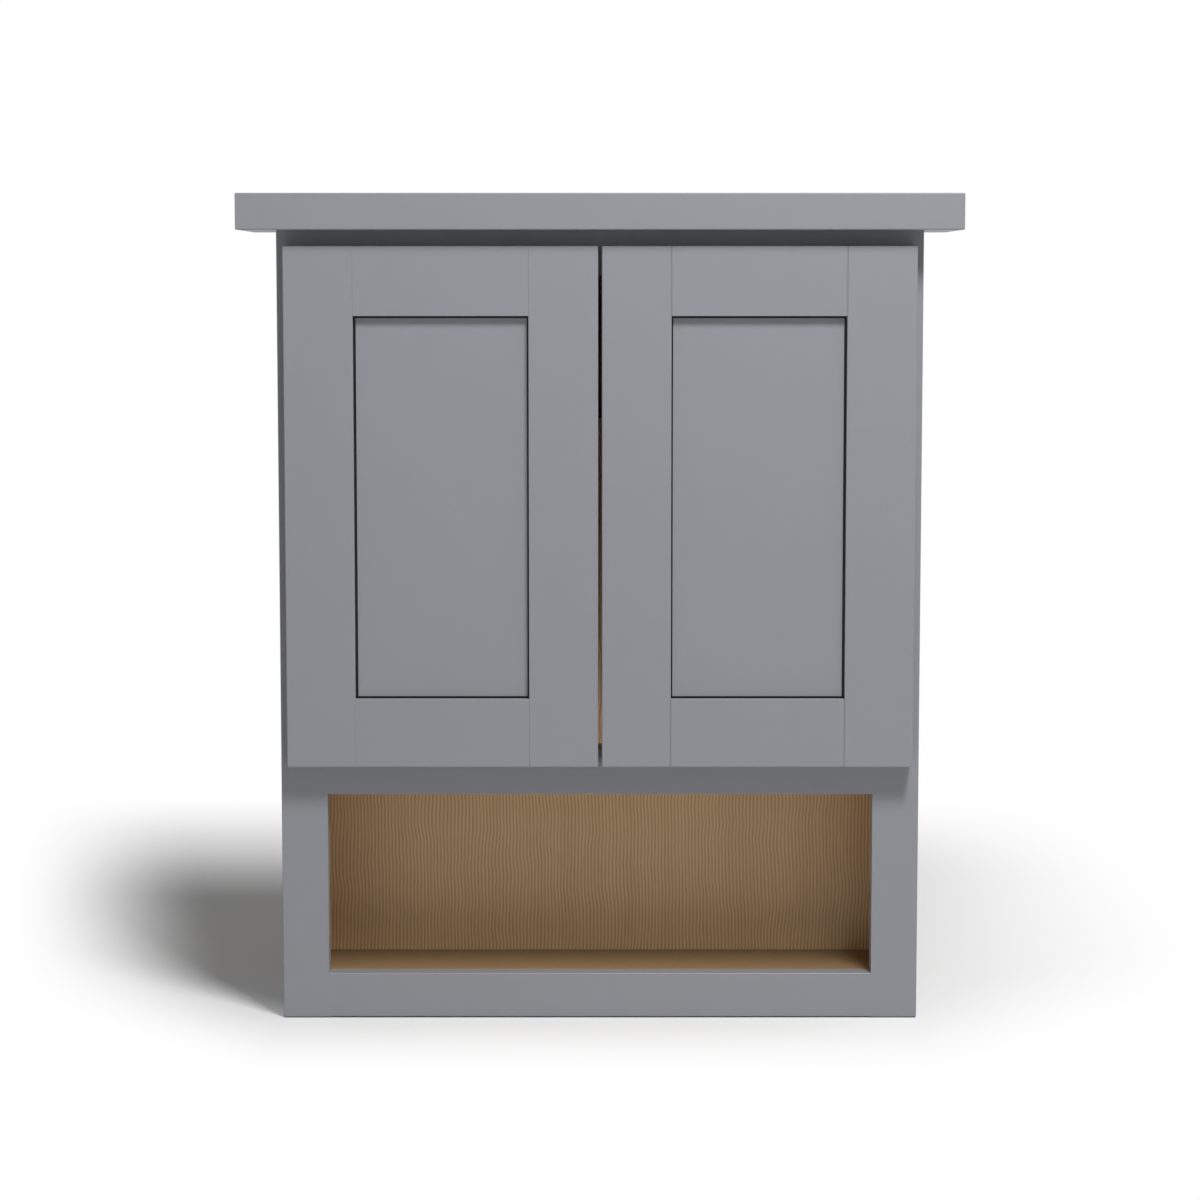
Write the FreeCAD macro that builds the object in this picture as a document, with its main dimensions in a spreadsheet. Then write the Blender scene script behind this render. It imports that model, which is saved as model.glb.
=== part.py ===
import FreeCAD, Part
import Sketcher
import os
from types import SimpleNamespace

# Medicine cabinet for a bathroom wall: a shallow box with a face frame, two framed doors on
# concealed hinges, an open niche below them and a square crown round the top.
# Millimetres. X runs to the right, Y from the front to the wall, Z up.
# The origin is on the floor, under the middle of the whole cabinet.

doc = FreeCAD.newDocument("medicine_cabinet")
sheet = doc.addObject("Spreadsheet::Sheet", "Sizes")
nodes = {}


class Size:
    """A length that knows both its value and the formula that it comes from."""

    def __init__(self, value, text):
        self.value = value
        self.text = text

    def __add__(self, other):
        other = as_size(other)
        return Size(self.value + other.value, f"({self.text} + {other.text})")

    def __sub__(self, other):
        other = as_size(other)
        return Size(self.value - other.value, f"({self.text} - {other.text})")

    def __mul__(self, other):
        other = as_size(other)
        return Size(self.value * other.value, f"({self.text} * {other.text})")

    def __truediv__(self, other):
        other = as_size(other)
        return Size(self.value / other.value, f"({self.text} / {other.text})")

    def __neg__(self):
        return Size(-self.value, f"(0 - {self.text})")


def as_size(thing):
    """Take a plain number as a size too."""
    if isinstance(thing, Size):
        return thing
    return Size(float(thing), f"{float(thing):.6f}")


# The driving sizes
SIZES = {
    # The box
    "cab_w": 609.6,  # width of the box and its face frame
    "cab_h": 762,  # height of the box
    "cab_d": 127,  # depth from the face frame's front to the wall
    "board_t": 12.7,  # thickness of the side, top, deck and floor boards
    "dado": 5,  # depth of the grooves in the sides
    "back_t": 6.35,  # thickness of the back panel
    "hang_t": 12.7,  # thickness of the hanging rails
    "hang_h": 76.2,  # height of the hanging rails
    "hang_up": 11.8,  # lower hanging rail above the deck
    # The wall screws
    "wall_x": 406.4,  # spacing of the wall screws along the wall
    "wall_up": 25.4,  # wall screws above a hanging rail's underside
    "wall_r": 2.5,  # radius of the wall screw holes
    # The face frame
    "frame_t": 19.05,  # thickness of the face frame
    "stile_w": 44,  # width of the frame stiles
    "top_rail_h": 51.7,  # height of the top frame rail
    "mid_rail_z": 216.8,  # underside of the middle frame rail, top of the niche
    "mid_rail_h": 46.3,  # height of the middle frame rail
    "low_rail_h": 42.6,  # height of the bottom frame rail, floor of the niche
    "ease": 0.8,  # eased edges
    "dowel_r": 4,  # radius of the frame dowels
    "dowel_fit": 0.1,  # clearance of a dowel in its hole
    "dowel_half": 20,  # length of a dowel in each piece
    "dowel_apart": 24,  # spacing of the two dowels in a joint
    # The crown
    "crown_d": 34.5,  # how far the crown stands out
    "crown_h": 34.1,  # height of the crown
    "crown_lap": 8.9,  # how far the crown hangs below the box's top
    "block_l": 76.2,  # length of the glue blocks behind the crown
    "block_w": 19.05,  # height and width of the glue blocks
    # The doors
    "door_t": 19.05,  # thickness of the doors
    "door_gap": 3,  # gap between door and face frame
    "door_low": 16.8,  # how far the doors cover the middle rail
    "door_high": 28,  # how far the doors cover the top rail
    "door_side": 7.8,  # strip of the frame that shows beside a door
    "meet_gap": 3.5,  # gap between the two doors
    "bar_w": 65.3,  # width of the door stiles and rails
    "line_ease": 0.25,  # fine eased line at the door joints
    "groove_lip": 3.55,  # wood behind the panel groove
    "groove_t": 6,  # width of the panel groove
    "groove_deep": 9.5,  # depth of the panel groove
    "panel_raise": 3.35,  # how far the panel's field stands out from its tongue
    "panel_gap": 1.95,  # shadow gap round the panel's field
    "panel_shift": 0.45,  # how far the loose panel has slid towards the meeting stile
    "panel_slip": 0.2,  # clearance in front of the panel's tongue
    "panel_play": 1.5,  # room for the panel to swell in its groove
    "bumper_r": 4.8,  # radius of the door bumpers
    "bumper_tip": 3.8,  # radius of the bumpers at their flat tip
    "bumper_in": 9,  # bumper centre from the door's end
    "bumper_side": 14,  # bumper centre from the door's meeting edge
    "bumper_clear": 0.2,  # room between bumper and frame
    # The hinges
    "hinge_end": 76,  # hinge centre from the door's end
    "pin_rim": 4.4,  # pin from the cup's outer rim
    "pin_deep": 10,  # pin from the door's back
    "pin_r": 1.5,  # radius of the hinge pin
    "pin_half": 8.5,  # half length of the hinge pin
    "pin_fit": 0.04,  # running clearance of the arm's eye on the pin
    "eye_wall": 0.8,  # wall of the arm's eye
    "strap_t": 1.6,  # thickness of the hinge arm's steel
    "strap_half": 6.1,  # half width of the hinge arm
    "strap_room": 0.3,  # room between arm and cup
    "arm_reach": 24,  # arm from the pin to its bend
    "arm_rise": 0.7,  # arm's clearance over the door's back
    "plate_end": 1,  # arm's plate from the frame's back
    "plate_start": 2,  # arm's wide plate from the frame's front
    "plate_half": 20,  # half height of the arm's plate
    "cup_in": 20.5,  # cup centre from the door's outer edge
    "cup_r": 17.4,  # radius of the hinge cup
    "cup_fit": 0.1,  # clearance of the cup in its bore
    "cup_floor": 0.7,  # thickness of the cup's floor
    "cup_room": 1.6,  # room past the arm's bend in the cup's hollow
    "flange_t": 1,  # thickness of the cup's flange
    "flange_near": 1,  # outer edge of the flange, from the cup centre
    "flange_far": 15,  # inner edge of the flange, from the cup centre
    "flange_half": 28,  # half height of the flange
    "cup_screw_in": 9.5,  # cup screws from the cup centre, along the door
    "cup_screw_half": 22.5,  # cup screws above and below the cup centre
    "arm_screw_half": 14,  # arm screws above and below the hinge centre
    "screw_r": 1.5,  # radius of the screw shanks
    "screw_fit": 0.05,  # clearance of a screw in its pilot hole
    "screw_pass": 0.3,  # clearance of a screw in a steel plate
    "screw_l": 13,  # length of the screw shanks
    "head_r": 3.2,  # radius of the screw heads
    "head_t": 1.8,  # height of the screw heads
    # The shelf
    "shelf_t": 12.7,  # thickness of the shelf
    "shelf_side": 1.5,  # room at each end of the shelf
    "shelf_front": 5,  # shelf's front edge behind the face frame
    "shelf_back": 2,  # room behind the shelf
    "hole_r": 2.5,  # radius of the shelf pin's stem
    "hole_fit": 0.05,  # clearance of the stem in its hole
    "hole_deep": 9,  # depth of the shelf pin holes
    "hole_edge": 22,  # rows of holes from the frame and from the back
    "hole_up": 138.5,  # lowest shelf pin holes above the deck
    "hole_pitch": 32,  # spacing of the shelf pin holes
    "stem_l": 8,  # length of the shelf pin's stem
    "rest_l": 9,  # length and width of the shelf pin's rest
    "rest_h": 6,  # height of the shelf pin's rest
}
HOLE_ROWS = 9
SHELF_ROW = 6

for row, (name, number) in enumerate(SIZES.items(), 1):
    sheet.set(f"A{row}", name)
    sheet.set(f"B{row}", str(number))
    sheet.setAlias(f"B{row}", name)
s = SimpleNamespace(**{name: Size(float(number), f"Sizes.{name}") for name, number in SIZES.items()})

# Planes that the pieces share
front = (s.crown_d - s.cab_d) / 2
wall = front + s.cab_d
frame_back = front + s.frame_t
back_face = wall - s.hang_t - s.back_t
back_rear = wall - s.hang_t
half_w = s.cab_w / 2
inside = half_w - s.board_t
opening = half_w - s.stile_w
door_back = front - s.door_gap
door_front = door_back - s.door_t
door_z = s.mid_rail_z + s.mid_rail_h - s.door_low
door_top = s.cab_h - s.top_rail_h + s.door_high
door_reach = half_w - s.door_side
meet = s.meet_gap / 2
hinge_inner = door_reach - s.bar_w
lock_inner = meet + s.bar_w
groove_rear = door_back - s.groove_lip
groove_front = groove_rear - s.groove_t
tongue_front = groove_front + s.panel_slip
cup_x = door_reach - s.cup_in
pin_x = cup_x + s.cup_r - s.pin_rim
pin_y = door_back - s.pin_deep
deck_top = s.mid_rail_z + s.board_t
hang_low = deck_top + s.hang_up
hang_high = s.cab_h - s.hang_h
hole_first = deck_top + s.hole_up
crown_z = s.cab_h - s.crown_lap
plate_rear = frame_back - s.plate_end
cup_base = pin_y - s.pin_r - s.pin_fit - s.eye_wall - s.strap_room - s.cup_floor
hinge_heights = {"lower": door_z + s.hinge_end, "upper": door_top - s.hinge_end}
sides = {"left": -1, "right": 1}
frame_mid = front + s.frame_t / 2
rails = {
    "top_frame_rail": (s.cab_h - s.top_rail_h, s.cab_h),
    "middle_frame_rail": (s.mid_rail_z, s.mid_rail_z + s.mid_rail_h),
    "bottom_frame_rail": (as_size(0), s.low_rail_h),
}


def bind(thing, prop, length):
    """Tie a property to the sheet."""
    thing.setExpression(prop, as_size(length).text)


def at(side, reach):
    """A distance from the middle, on the left or on the right."""
    return -reach if side < 0 else reach + 0


def across(side, near, far):
    """The two ends of a stretch on one side of the middle, the lower x first."""
    return (-far, -near) if side < 0 else (near + 0, far + 0)


def body_for(node):
    """A new sub-part."""
    body = doc.addObject("PartDesign::Body", node)
    body.Label = node
    nodes[node] = body
    return body


def blank_sketch(body, name, role, low, high):
    """An empty sketch on one of the sub-part's own planes."""
    sketch = body.newObject("Sketcher::SketchObject", name)
    for plane in body.Origin.OriginFeatures:
        if plane.Role == role:
            sketch.AttachmentSupport = (plane, [""])
    sketch.MapMode = "FlatFace"
    bind(sketch, "AttachmentOffset.Base.z", -high if role == "XZ_Plane" else low)
    return sketch


def place_point(sketch, line, end, u, v):
    """Fix one point of a sketch by its distances from the origin."""
    for kind, distance in (("DistanceX", u), ("DistanceY", v)):
        index = sketch.addConstraint(Sketcher.Constraint(kind, -1, 1, line, end, distance.value))
        bind(sketch, f"Constraints[{index}]", distance)


def draw_outline(sketch, points):
    """A closed outline of straight lines through the given corners."""
    points = [(as_size(u), as_size(v)) for u, v in points]
    corners = [FreeCAD.Vector(u.value, v.value, 0) for u, v in points]
    count = len(points)
    for n in range(count):
        sketch.addGeometry(Part.LineSegment(corners[n], corners[(n + 1) % count]), False)
    for n in range(count):
        sketch.addConstraint(Sketcher.Constraint("Coincident", n, 2, (n + 1) % count, 1))
    for n, (u, v) in enumerate(points):
        place_point(sketch, n, 1, u, v)


def draw_circles(sketch, centres, radius):
    """Circles of one radius."""
    for u, v in centres:
        middle = FreeCAD.Vector(u.value, v.value, 0)
        circle = Part.Circle(middle, FreeCAD.Vector(0, 0, 1), radius.value)
        index = sketch.addGeometry(circle, False)
        place_point(sketch, index, 3, u, v)
        ring = sketch.addConstraint(Sketcher.Constraint("Radius", index, radius.value))
        bind(sketch, f"Constraints[{ring}]", radius)


def grow(body, kind, name, sketch, low, high):
    """Pad or pocket a sketch from low to high."""
    feature = body.newObject("PartDesign::" + kind, name)
    feature.Profile = sketch
    bind(feature, "Length", high - low)
    if kind == "Pocket":
        feature.Reversed = True
    return feature


def prism(body, kind, name, role, points, low, high):
    """A straight-sided solid or cut from low to high along the plane's axis."""
    low = as_size(low)
    high = as_size(high)
    sketch = blank_sketch(body, name + "_outline", role, low, high)
    draw_outline(sketch, points)
    return grow(body, kind, name, sketch, low, high)


def rounds(body, kind, name, role, centres, radius, low, high):
    """Round bosses or bores from low to high along the plane's axis."""
    sketch = blank_sketch(body, name + "_circles", role, low, high)
    draw_circles(sketch, centres, radius)
    return grow(body, kind, name, sketch, low, high)


def rectangle(u, v):
    """Corners of a rectangle between two pairs of limits."""
    return [(u[0], v[0]), (u[1], v[0]), (u[1], v[1]), (u[0], v[1])]


def board(node, x, y, z):
    """A plain board between three pairs of limits."""
    body = body_for(node)
    prism(body, "Pad", "board", "XY_Plane", rectangle(x, y), z[0], z[1])
    return body


def eased(body, name, chosen):
    """Ease the straight edges that the test picks out by their middle points."""
    doc.recompute()
    base = body.Tip
    edges = [f"Edge{n}" for n, edge in enumerate(base.Shape.Edges, 1) if chosen(edge.CenterOfMass)]
    feature = body.newObject("PartDesign::Chamfer", name)
    feature.Base = (base, edges)
    bind(feature, "Size", s.ease)
    return feature


def near(value, length):
    """Whether a coordinate lies on one of the shared planes."""
    return abs(value - length.value) < 0.001


TURNS = {
    "x": FreeCAD.Rotation(FreeCAD.Vector(0, 1, 0), 90),
    "y": FreeCAD.Rotation(FreeCAD.Vector(1, 0, 0), -90),
    "z": FreeCAD.Rotation(),
}


def place(thing, turn, x, y, z):
    """Put a simple solid in its place."""
    thing.Placement = FreeCAD.Placement(FreeCAD.Vector(x.value, y.value, z.value), turn)
    for axis, length in zip("xyz", (x, y, z)):
        bind(thing, "Placement.Base." + axis, length)


def rod(name, axis, x, y, z, radius, length):
    """A round bar that starts at a point and runs along one axis."""
    thing = doc.addObject("Part::Cylinder", name)
    bind(thing, "Radius", radius)
    bind(thing, "Height", length)
    place(thing, TURNS[axis], x, y, z)
    return thing


def brick(name, x, y, z):
    """A square block between three pairs of limits."""
    thing = doc.addObject("Part::Box", name)
    for prop, limits in zip(("Length", "Width", "Height"), (x, y, z)):
        bind(thing, prop, limits[1] - limits[0])
    place(thing, FreeCAD.Rotation(), x[0], y[0], z[0])
    return thing


def joined(name, first, second):
    """Two simple solids as one."""
    thing = doc.addObject("Part::Fuse", name)
    thing.Base = first
    thing.Tool = second
    return thing


def group(node, things):
    """Like pieces, each a solid of its own, under one name."""
    thing = doc.addObject("Part::Compound", node)
    thing.Links = things
    thing.Label = node
    nodes[node] = thing
    return thing


# Sides, with grooves for the boards and the back, and rows of shelf pin holes
board_steps = {
    "top_groove": (s.cab_h - s.board_t, s.cab_h),
    "deck_groove": (s.mid_rail_z, deck_top),
    "floor_groove": (s.low_rail_h - s.board_t, s.low_rail_h),
}
hole_rows = (frame_back + s.hole_edge, back_face - s.hole_edge)
for word, side in sides.items():
    body = body_for(word + "_side")
    profile = [
        (at(side, inside), frame_back),
        (at(side, half_w), frame_back),
        (at(side, half_w), wall),
        (at(side, inside), wall),
        (at(side, inside), back_rear),
        (at(side, inside + s.dado), back_rear),
        (at(side, inside + s.dado), back_face),
        (at(side, inside), back_face),
    ]
    prism(body, "Pad", "board", "XY_Plane", profile, 0, s.cab_h)
    for name, (low, high) in board_steps.items():
        cut = rectangle(across(side, inside, inside + s.dado), (frame_back, back_face))
        prism(body, "Pocket", name, "XY_Plane", cut, low, high)
    low, high = across(side, inside, inside + s.hole_deep)
    first = [(y, hole_first) for y in hole_rows]
    holes = rounds(body, "Pocket", "pin_holes", "YZ_Plane", first, s.hole_r + s.hole_fit, low, high)
    doc.recompute()
    rows = body.newObject("PartDesign::LinearPattern", "pin_hole_rows")
    rows.Originals = [holes]
    for item in body.Origin.OriginFeatures:
        if item.Role == "Z_Axis":
            rows.Direction = (item, [""])
    rows.Occurrences = HOLE_ROWS
    bind(rows, "Length", s.hole_pitch * (HOLE_ROWS - 1))
    body.Tip = rows

# Boards between the sides
tongue = (-(inside + s.dado), inside + s.dado)
board_y = (frame_back, back_face)
board("top_board", tongue, board_y, board_steps["top_groove"])
board("deck_board", tongue, board_y, board_steps["deck_groove"])
board("niche_floor", tongue, board_y, board_steps["floor_groove"])

# Back panel and hanging rails, drilled for the wall screws
hang_levels = {"lower": (hang_low, hang_low + s.hang_h), "upper": (hang_high, s.cab_h)}
wall_points = {}
for word, level in hang_levels.items():
    z = level[0] + s.wall_up
    wall_points[word] = [(-s.wall_x / 2, z), (s.wall_x / 2, z)]
body = board("back_panel", tongue, (back_face, back_rear), (as_size(0), s.cab_h))
every_point = wall_points["lower"] + wall_points["upper"]
rounds(body, "Pocket", "wall_holes", "XZ_Plane", every_point, s.wall_r, back_face, back_rear)
for word, level in hang_levels.items():
    body = board(word + "_hanging_rail", (-inside, inside), (back_rear, wall), level)
    rounds(body, "Pocket", "wall_holes", "XZ_Plane", wall_points[word], s.wall_r, back_rear, wall)

# Shelf on four pins
shelf_z = hole_first + s.hole_pitch * SHELF_ROW + s.rest_h / 2
shelf_x = inside - s.shelf_side
shelf_y = (frame_back + s.shelf_front, back_face - s.shelf_back)
board("shelf", (-shelf_x, shelf_x), shelf_y, (shelf_z, shelf_z + s.shelf_t))
pins = []
for word, side in sides.items():
    for row, y in zip(("front", "rear"), hole_rows):
        name = f"shelf_pin_{word}_{row}"
        block_x = across(side, inside - s.rest_l, inside)
        block_y = (y - s.rest_l / 2, y + s.rest_l / 2)
        rest = brick(name + "_rest", block_x, block_y, (shelf_z - s.rest_h, shelf_z))
        stem_x = across(side, inside, inside + s.stem_l)
        stem = rod(name + "_stem", "x", stem_x[0], y, shelf_z - s.rest_h / 2, s.hole_r, s.stem_l)
        pins.append(joined(name, rest, stem))
group("shelf_pins", pins)


def dowel_heights(level):
    """The two dowels of a joint, above and below the rail's middle."""
    middle = (level[0] + level[1]) / 2
    return [middle - s.dowel_apart / 2, middle + s.dowel_apart / 2]


# Face frame: two stiles and three rails, dowelled together
for word, side in sides.items():
    body = body_for(word + "_frame_stile")
    profile = [
        (at(side, half_w), frame_back),
        (at(side, half_w), front + s.ease),
        (at(side, half_w - s.ease), front),
        (at(side, opening), front),
        (at(side, opening), frame_back),
    ]
    prism(body, "Pad", "stile", "XY_Plane", profile, 0, s.cab_h)
    spots = [(frame_mid, z) for level in rails.values() for z in dowel_heights(level)]
    low, high = across(side, opening, opening + s.dowel_half)
    rounds(body, "Pocket", "dowel_holes", "YZ_Plane", spots, s.dowel_r + s.dowel_fit, low, high)
    spots = []
    for height in hinge_heights.values():
        spots += [(frame_mid, height - s.arm_screw_half), (frame_mid, height + s.arm_screw_half)]
    low, high = across(side, opening, opening + s.screw_l)
    rounds(body, "Pocket", "screw_holes", "YZ_Plane", spots, s.screw_r + s.screw_fit, low, high)

dowels = []
for node, level in rails.items():
    body = body_for(node)
    profile = [
        (front + s.ease, level[0]),
        (frame_back, level[0]),
        (frame_back, level[1]),
        (front + s.ease, level[1]),
        (front, level[1] - s.ease),
        (front, level[0] + s.ease),
    ]
    prism(body, "Pad", "rail", "YZ_Plane", profile, -opening, opening)
    spots = [(frame_mid, z) for z in dowel_heights(level)]
    for word, side in sides.items():
        low, high = across(side, opening - s.dowel_half, opening)
        rounds(body, "Pocket", word + "_dowels", "YZ_Plane", spots, s.dowel_r + s.dowel_fit, low, high)
        start = across(side, opening - s.dowel_half, opening + s.dowel_half)[0]
        for n, (y, z) in enumerate(spots):
            name = f"{node}_{word}_dowel_{n}"
            dowels.append(rod(name, "x", start, y, z, s.dowel_r, s.dowel_half * 2))
group("frame_dowels", dowels)

# Crown: square stock mitred round the front and both sides, on glue blocks
crown_front = front - s.crown_d
crown_out = half_w + s.crown_d
body = body_for("crown_front")
profile = [
    (-crown_out, crown_front),
    (crown_out, crown_front),
    (half_w, front),
    (-half_w, front),
]
prism(body, "Pad", "moulding", "XY_Plane", profile, crown_z, crown_z + s.crown_h)
eased(body, "eased_edges", lambda middle: near(middle.y, crown_front) and near(middle.x, as_size(0)))
for word, side in sides.items():
    body = body_for(word + "_crown_return")
    profile = [
        (at(side, crown_out), crown_front),
        (at(side, crown_out), wall),
        (at(side, half_w), wall),
        (at(side, half_w), front),
    ]
    prism(body, "Pad", "moulding", "XY_Plane", profile, crown_z, crown_z + s.crown_h)
    outer = at(side, crown_out)
    half_way = (crown_front + wall) / 2
    eased(body, "eased_edges", lambda middle: near(middle.x, outer) and near(middle.y, half_way))
blocks = []
level = (s.cab_h, s.cab_h + s.block_w)
for word, side in sides.items():
    spot = across(side, half_w / 2 - s.block_l / 2, half_w / 2 + s.block_l / 2)
    blocks.append(brick(f"block_front_{word}", spot, (front, front + s.block_w), level))
    spot = across(side, half_w - s.block_w, half_w)
    middle = (front + wall) / 2
    run = (middle - s.block_l / 2, middle + s.block_l / 2)
    blocks.append(brick(f"block_side_{word}", spot, run, level))
group("crown_blocks", blocks)

# Hinge sizes that several pieces share
eye_r = s.pin_r + s.pin_fit + s.eye_wall
cup_spots = {}
for word, side in sides.items():
    cup_spots[word] = [(at(side, cup_x), z) for z in hinge_heights.values()]
flange_reach = (cup_x - s.flange_far, cup_x - s.flange_near)
cup_screw_x = cup_x - s.cup_screw_in


def cup_screw_spots(side, height):
    """The two screws of one cup, as seen on the door's back."""
    x = at(side, cup_screw_x)
    return [(x, height - s.cup_screw_half), (x, height + s.cup_screw_half)]


def front_end(middle):
    """Whether an edge is the front edge of a door stile's end."""
    return near(middle.y, door_front) and (near(middle.z, door_z) or near(middle.z, door_top))


# Doors: stiles, rails and a loose panel with a shadow gap round its field
for word, side in sides.items():
    door = word + "_door_"
    body = body_for(door + "hinge_stile")
    profile = [
        (at(side, door_reach), door_front + s.ease),
        (at(side, door_reach - s.ease), door_front),
        (at(side, hinge_inner + s.line_ease), door_front),
        (at(side, hinge_inner), door_front + s.line_ease),
        (at(side, hinge_inner), groove_front),
        (at(side, hinge_inner + s.groove_deep), groove_front),
        (at(side, hinge_inner + s.groove_deep), groove_rear),
        (at(side, hinge_inner), groove_rear),
        (at(side, hinge_inner), door_back),
        (at(side, door_reach - s.ease), door_back),
        (at(side, door_reach), door_back - s.ease),
    ]
    prism(body, "Pad", "stile", "XY_Plane", profile, door_z, door_top)
    bore_low = cup_base - s.cup_fit
    bore_r = s.cup_r + s.cup_fit
    rounds(body, "Pocket", "cup_bores", "XZ_Plane", cup_spots[word], bore_r, bore_low, door_back)
    for level_word, height in hinge_heights.items():
        reach = across(side, flange_reach[0] - s.cup_fit, flange_reach[1] + s.cup_fit)
        rise = (height - s.flange_half - s.cup_fit, height + s.flange_half + s.cup_fit)
        name = level_word + "_flange_seat"
        seat = rectangle(reach, rise)
        prism(body, "Pocket", name, "XZ_Plane", seat, door_back - s.flange_t, door_back)
        spots = cup_screw_spots(side, height)
        name = level_word + "_screw_holes"
        pilot = s.screw_r + s.screw_fit
        rounds(body, "Pocket", name, "XZ_Plane", spots, pilot, door_back - s.screw_l, door_back)
    eased(body, "eased_ends", front_end)

    body = body_for(door + "lock_stile")
    profile = [
        (at(side, meet), door_front + s.ease),
        (at(side, meet + s.ease), door_front),
        (at(side, lock_inner - s.line_ease), door_front),
        (at(side, lock_inner), door_front + s.line_ease),
        (at(side, lock_inner), groove_front),
        (at(side, lock_inner - s.groove_deep), groove_front),
        (at(side, lock_inner - s.groove_deep), groove_rear),
        (at(side, lock_inner), groove_rear),
        (at(side, lock_inner), door_back),
        (at(side, meet + s.ease), door_back),
        (at(side, meet), door_back - s.ease),
    ]
    prism(body, "Pad", "stile", "XY_Plane", profile, door_z, door_top)
    eased(body, "eased_ends", front_end)

    # Each rail is drawn from its outer edge, so one outline serves top and bottom
    rail_run = across(side, lock_inner, hinge_inner)
    tenon_run = across(side, lock_inner - s.groove_deep, hinge_inner + s.groove_deep)
    for end, edge, up in (("bottom_rail", door_z, 1), ("top_rail", door_top, -1)):
        body = body_for(door + end)
        inner = edge + s.bar_w * up
        trough = inner - s.groove_deep * up
        profile = [
            (door_front + s.ease, edge),
            (door_back - s.ease, edge),
            (door_back, edge + s.ease * up),
            (door_back, inner),
            (groove_rear, inner),
            (groove_rear, trough),
            (groove_front, trough),
            (groove_front, inner),
            (door_front + s.line_ease, inner),
            (door_front, inner - s.line_ease * up),
            (door_front, edge + s.ease * up),
        ]
        prism(body, "Pad", "rail", "YZ_Plane", profile, *rail_run)
        low, high = (edge, trough) if up > 0 else (trough, edge)
        tenon = rectangle((groove_front, groove_rear), (low, high))
        prism(body, "Pad", "tenons", "YZ_Plane", tenon, *tenon_run)

    body = body_for(door + "panel")
    near_x = lock_inner - s.panel_shift
    far_x = hinge_inner - s.panel_shift
    field_x = across(side, near_x + s.panel_gap, far_x - s.panel_gap)
    field_z = (door_z + s.bar_w + s.panel_gap, door_top - s.bar_w - s.panel_gap)
    field = rectangle(field_x, field_z)
    prism(body, "Pad", "field", "XZ_Plane", field, tongue_front - s.panel_raise, groove_rear)
    hold = s.groove_deep - s.panel_play
    tongue_x = across(side, near_x - hold, far_x + hold)
    tongue_z = (door_z + s.bar_w - hold, door_top - s.bar_w + hold)
    edge = rectangle(tongue_x, tongue_z)
    prism(body, "Pad", "tongue", "XZ_Plane", edge, tongue_front, groove_rear)

    bumpers = []
    for n, z in enumerate((door_z + s.bumper_in, door_top - s.bumper_in)):
        dot = doc.addObject("Part::Cone", f"{word}_bumper_{n}")
        bind(dot, "Radius1", s.bumper_r)
        bind(dot, "Radius2", s.bumper_tip)
        bind(dot, "Height", s.door_gap - s.bumper_clear)
        place(dot, TURNS["y"], at(side, meet + s.bumper_side), door_back + 0, z)
        bumpers.append(dot)
    group(door + "bumpers", bumpers)

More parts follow.
